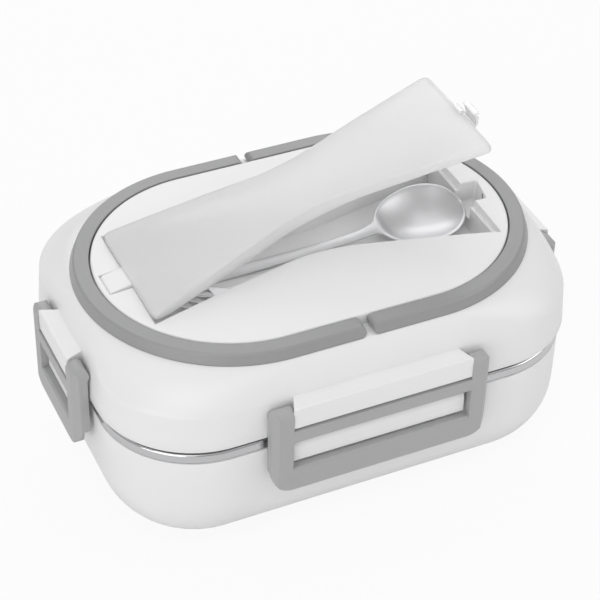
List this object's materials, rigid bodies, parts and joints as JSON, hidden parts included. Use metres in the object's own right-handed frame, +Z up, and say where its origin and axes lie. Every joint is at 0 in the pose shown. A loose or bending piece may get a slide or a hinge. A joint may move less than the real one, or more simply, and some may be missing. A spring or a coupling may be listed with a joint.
{
  "type": "electric lunch box",
  "caption": "Heated lunch box: rounded tub with steel food container, lift-off latched lid, folding carry ring and cutlery tray under a hinged cover.",
  "frame": {"origin": "centre of the underside, on the plane the feet stand on", "axes": "+X along the long side to the right, +Y from the front latch to the back one, +Z up"},
  "size_m": [0.2516, 0.1826, 0.1601],
  "materials": {
    "white_body": "smooth satin-gloss moulded",
    "grey_liner": "satin moulded",
    "grey_trim": "satin moulded",
    "frosted_cover": "frosted, slightly see-through",
    "polished_steel": "polished stainless",
    "cutlery_steel": "polished stainless",
    "screw_steel": "plated",
    "heating_aluminium": "machined",
    "heater_brass": "ceramic heater in a metal sleeve",
    "dark_plastic": "moulded",
    "foot_rubber": "matte",
    "seal_silicone": "matte",
    "wire_sleeve": "braided sleeve",
    "shield_sheet": "heat shield sheet"
  },
  "bodies": {
    "base": {"base_shell": "white_body", "feet": "foot_rubber", "base_screws": "screw_steel", "base_liner": "grey_liner", "heating_plate": "heating_aluminium", "ptc_heater": "heater_brass", "heater_clamp": "screw_steel", "clamp_screws": "screw_steel", "thermostat": "dark_plastic", "thermal_fuse": "grey_liner", "lead_wires": "wire_sleeve", "inlet_socket": "dark_plastic", "inlet_pins": "screw_steel", "insulation_pad": "shield_sheet"},
    "container": {"container": "polished_steel"},
    "lid": {"lid_shell": "white_body", "lid_top_panel": "white_body", "lid_inner_plate": "grey_liner", "lid_gasket": "seal_silicone", "lid_screws": "screw_steel", "cover_hinge_pin": "screw_steel"},
    "handle_left": {"handle_left": "grey_trim"},
    "handle_right": {"handle_right": "grey_trim"},
    "latch_front": {"latch_front": "grey_trim"},
    "latch_back": {"latch_back": "grey_trim"},
    "latch_left": {"latch_left": "grey_trim"},
    "latch_right": {"latch_right": "grey_trim"},
    "cover": {"cutlery_cover": "frosted_cover"},
    "spoon": {"spoon": "cutlery_steel"},
    "fork": {"fork": "cutlery_steel"}
  },
  "joints": [
    {"name": "lid_lift", "type": "slide", "parent": "base", "child": "lid", "axis": [0, 0, 1], "range_m": [0, 0.1]},
    {"name": "container_lift", "type": "slide", "parent": "base", "child": "container", "axis": [0, 0, 1], "range_m": [0, 0.05]},
    {"name": "latch_front_turn", "type": "hinge", "parent": "lid", "child": "latch_front", "pos_m": [0, -0.0873, 0.084], "axis": [-1, 0, 0], "range_deg": [0, 150]},
    {"name": "latch_back_turn", "type": "hinge", "parent": "lid", "child": "latch_back", "pos_m": [0, 0.0873, 0.084], "axis": [1, 0, 0], "range_deg": [0, 150]},
    {"name": "latch_left_turn", "type": "hinge", "parent": "lid", "child": "latch_left", "pos_m": [-0.1218, 0, 0.084], "axis": [0, 1, 0], "range_deg": [0, 150]},
    {"name": "latch_right_turn", "type": "hinge", "parent": "lid", "child": "latch_right", "pos_m": [0.1218, 0, 0.084], "axis": [0, -1, 0], "range_deg": [0, 150]},
    {"name": "handle_left_turn", "type": "hinge", "parent": "lid", "child": "handle_left", "pos_m": [-0.0046, 0, 0.1068], "axis": [0, 1, 0], "range_deg": [0, 90]},
    {"name": "handle_right_turn", "type": "hinge", "parent": "lid", "child": "handle_right", "pos_m": [0.0046, 0, 0.1068], "axis": [0, -1, 0], "range_deg": [0, 90]},
    {"name": "cover_turn", "type": "hinge", "parent": "lid", "child": "cover", "pos_m": [-0.097, 0, 0.1078], "axis": [0, -1, 0], "range_deg": [-15.5, 80]},
    {"name": "spoon_lift", "type": "hinge", "parent": "lid", "child": "spoon", "pos_m": [-0.066, 0, 0.1005], "axis": [0, -1, 0], "range_deg": [0, 12]},
    {"name": "fork_lift", "type": "hinge", "parent": "lid", "child": "fork", "pos_m": [-0.078, 0, 0.0935], "axis": [0, -1, 0], "range_deg": [0, 5]}
  ],
  "couplings": [
    {"joint": "container_lift", "follows": "lid_lift", "ratio": 0.5},
    {"joint": "latch_front_turn", "follows": "lid_lift", "rad_per_m": 26.18},
    {"joint": "latch_back_turn", "follows": "lid_lift", "rad_per_m": 26.18},
    {"joint": "latch_left_turn", "follows": "lid_lift", "rad_per_m": 26.18},
    {"joint": "latch_right_turn", "follows": "lid_lift", "rad_per_m": 26.18},
    {"joint": "fork_lift", "follows": "spoon_lift", "ratio": 0.4}
  ]
}
